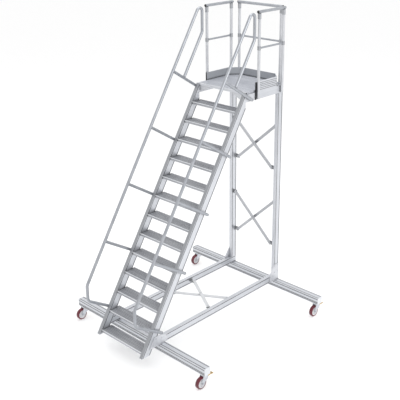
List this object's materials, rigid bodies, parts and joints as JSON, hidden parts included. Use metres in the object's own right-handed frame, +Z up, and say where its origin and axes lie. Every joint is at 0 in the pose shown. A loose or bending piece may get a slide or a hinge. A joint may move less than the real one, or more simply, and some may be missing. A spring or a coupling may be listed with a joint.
{
  "type": "mobile platform stairs",
  "caption": "Wheeled aluminium stairs with ribbed treads, two handrails and a railed platform on a braced tower, standing on cross bars with swivel castors.",
  "frame": {"origin": "on the floor under the middle of the whole object's outline", "axes": "+Z up, +Y from the stair's foot towards the platform, +X to the right of a person climbing"},
  "size_m": [2.528, 2.9919, 4.385],
  "materials": {
    "aluminium_profile": "satin",
    "aluminium_tube": "satin",
    "ribbed_aluminium": "ribbed",
    "zinc_steel": "zinc plated",
    "dark_bracket": "satin",
    "dark_plastic": "matte",
    "light_plastic": "matte",
    "tyre": "polyurethane, satin",
    "wheel_centre": "satin",
    "pedal_brass": "yellow zinc plated"
  },
  "bodies": {
    "frame": {"base_beam_left": "aluminium_profile", "base_beam_right": "aluminium_profile", "base_cross_brace": "aluminium_profile", "brace_brackets": "dark_bracket", "castor_mounts": "zinc_steel", "frame_bolts": "zinc_steel", "front_traverse": "aluminium_profile", "guard_collars": "aluminium_tube", "guard_knee_rails": "aluminium_tube", "guard_posts": "aluminium_tube", "guard_rail_caps": "dark_plastic", "guard_top_rails": "aluminium_tube", "handrail_left": "aluminium_tube", "handrail_right": "aluminium_tube", "handrail_supports": "aluminium_tube", "joint_plates": "aluminium_profile", "lower_cross_brace": "aluminium_profile", "platform_deck": "ribbed_aluminium", "platform_edge_strips": "dark_plastic", "platform_nosing_profile": "aluminium_profile", "platform_rear_profile": "aluminium_profile", "platform_side_beam_left": "aluminium_profile", "platform_side_beam_right": "aluminium_profile", "profile_end_caps": "light_plastic", "rear_post_left": "aluminium_profile", "rear_post_right": "aluminium_profile", "rear_traverse": "aluminium_profile", "stringer_left": "aluminium_profile", "stringer_right": "aluminium_profile", "toe_boards": "aluminium_profile", "tread_01": "ribbed_aluminium", "tread_02": "ribbed_aluminium", "tread_03": "ribbed_aluminium", "tread_04": "ribbed_aluminium", "tread_05": "ribbed_aluminium", "tread_06": "ribbed_aluminium", "tread_07": "ribbed_aluminium", "tread_08": "ribbed_aluminium", "tread_09": "ribbed_aluminium", "tread_10": "ribbed_aluminium", "tread_11": "ribbed_aluminium", "tread_12": "ribbed_aluminium", "tread_13": "ribbed_aluminium", "upper_cross_brace": "aluminium_profile"},
    "fork_front_left": {"castor_fork_front_left": "zinc_steel"},
    "wheel_front_left": {"castor_wheel_front_left": "wheel_centre", "castor_tyre_front_left": "tyre"},
    "pedal_front_left": {"castor_pedal_front_left": "pedal_brass"},
    "fork_front_right": {"castor_fork_front_right": "zinc_steel"},
    "wheel_front_right": {"castor_wheel_front_right": "wheel_centre", "castor_tyre_front_right": "tyre"},
    "pedal_front_right": {"castor_pedal_front_right": "pedal_brass"},
    "fork_rear_left": {"castor_fork_rear_left": "zinc_steel"},
    "wheel_rear_left": {"castor_wheel_rear_left": "wheel_centre", "castor_tyre_rear_left": "tyre"},
    "pedal_rear_left": {"castor_pedal_rear_left": "pedal_brass"},
    "fork_rear_right": {"castor_fork_rear_right": "zinc_steel"},
    "wheel_rear_right": {"castor_wheel_rear_right": "wheel_centre", "castor_tyre_rear_right": "tyre"},
    "pedal_rear_right": {"castor_pedal_rear_right": "pedal_brass"}
  },
  "joints": [
    {"name": "swivel_front_left", "type": "hinge", "parent": "frame", "child": "fork_front_left", "pos_m": [-1.2, -1.016, 0.195], "axis": [0, 0, 1], "continuous": true},
    {"name": "wheel_spin_front_left", "type": "hinge", "parent": "fork_front_left", "child": "wheel_front_left", "pos_m": [-1.2, -1.071, 0.08], "axis": [1, 0, 0], "continuous": true},
    {"name": "brake_pedal_front_left", "type": "hinge", "parent": "fork_front_left", "child": "pedal_front_left", "pos_m": [-1.2, -0.98, 0.138], "axis": [-1, 0, 0], "range_deg": [0, 12]},
    {"name": "swivel_front_right", "type": "hinge", "parent": "frame", "child": "fork_front_right", "pos_m": [1.2, -1.016, 0.195], "axis": [0, 0, 1], "continuous": true},
    {"name": "wheel_spin_front_right", "type": "hinge", "parent": "fork_front_right", "child": "wheel_front_right", "pos_m": [1.2, -1.071, 0.08], "axis": [1, 0, 0], "continuous": true},
    {"name": "brake_pedal_front_right", "type": "hinge", "parent": "fork_front_right", "child": "pedal_front_right", "pos_m": [1.2, -0.98, 0.138], "axis": [-1, 0, 0], "range_deg": [0, 12]},
    {"name": "swivel_rear_left", "type": "hinge", "parent": "frame", "child": "fork_rear_left", "pos_m": [-1.2, 1.342, 0.195], "axis": [0, 0, 1], "continuous": true},
    {"name": "wheel_spin_rear_left", "type": "hinge", "parent": "fork_rear_left", "child": "wheel_rear_left", "pos_m": [-1.2, 1.287, 0.08], "axis": [1, 0, 0], "continuous": true},
    {"name": "brake_pedal_rear_left", "type": "hinge", "parent": "fork_rear_left", "child": "pedal_rear_left", "pos_m": [-1.2, 1.378, 0.138], "axis": [-1, 0, 0], "range_deg": [0, 12]},
    {"name": "swivel_rear_right", "type": "hinge", "parent": "frame", "child": "fork_rear_right", "pos_m": [1.2, 1.342, 0.195], "axis": [0, 0, 1], "continuous": true},
    {"name": "wheel_spin_rear_right", "type": "hinge", "parent": "fork_rear_right", "child": "wheel_rear_right", "pos_m": [1.2, 1.287, 0.08], "axis": [1, 0, 0], "continuous": true},
    {"name": "brake_pedal_rear_right", "type": "hinge", "parent": "fork_rear_right", "child": "pedal_rear_right", "pos_m": [1.2, 1.378, 0.138], "axis": [-1, 0, 0], "range_deg": [0, 12]}
  ]
}
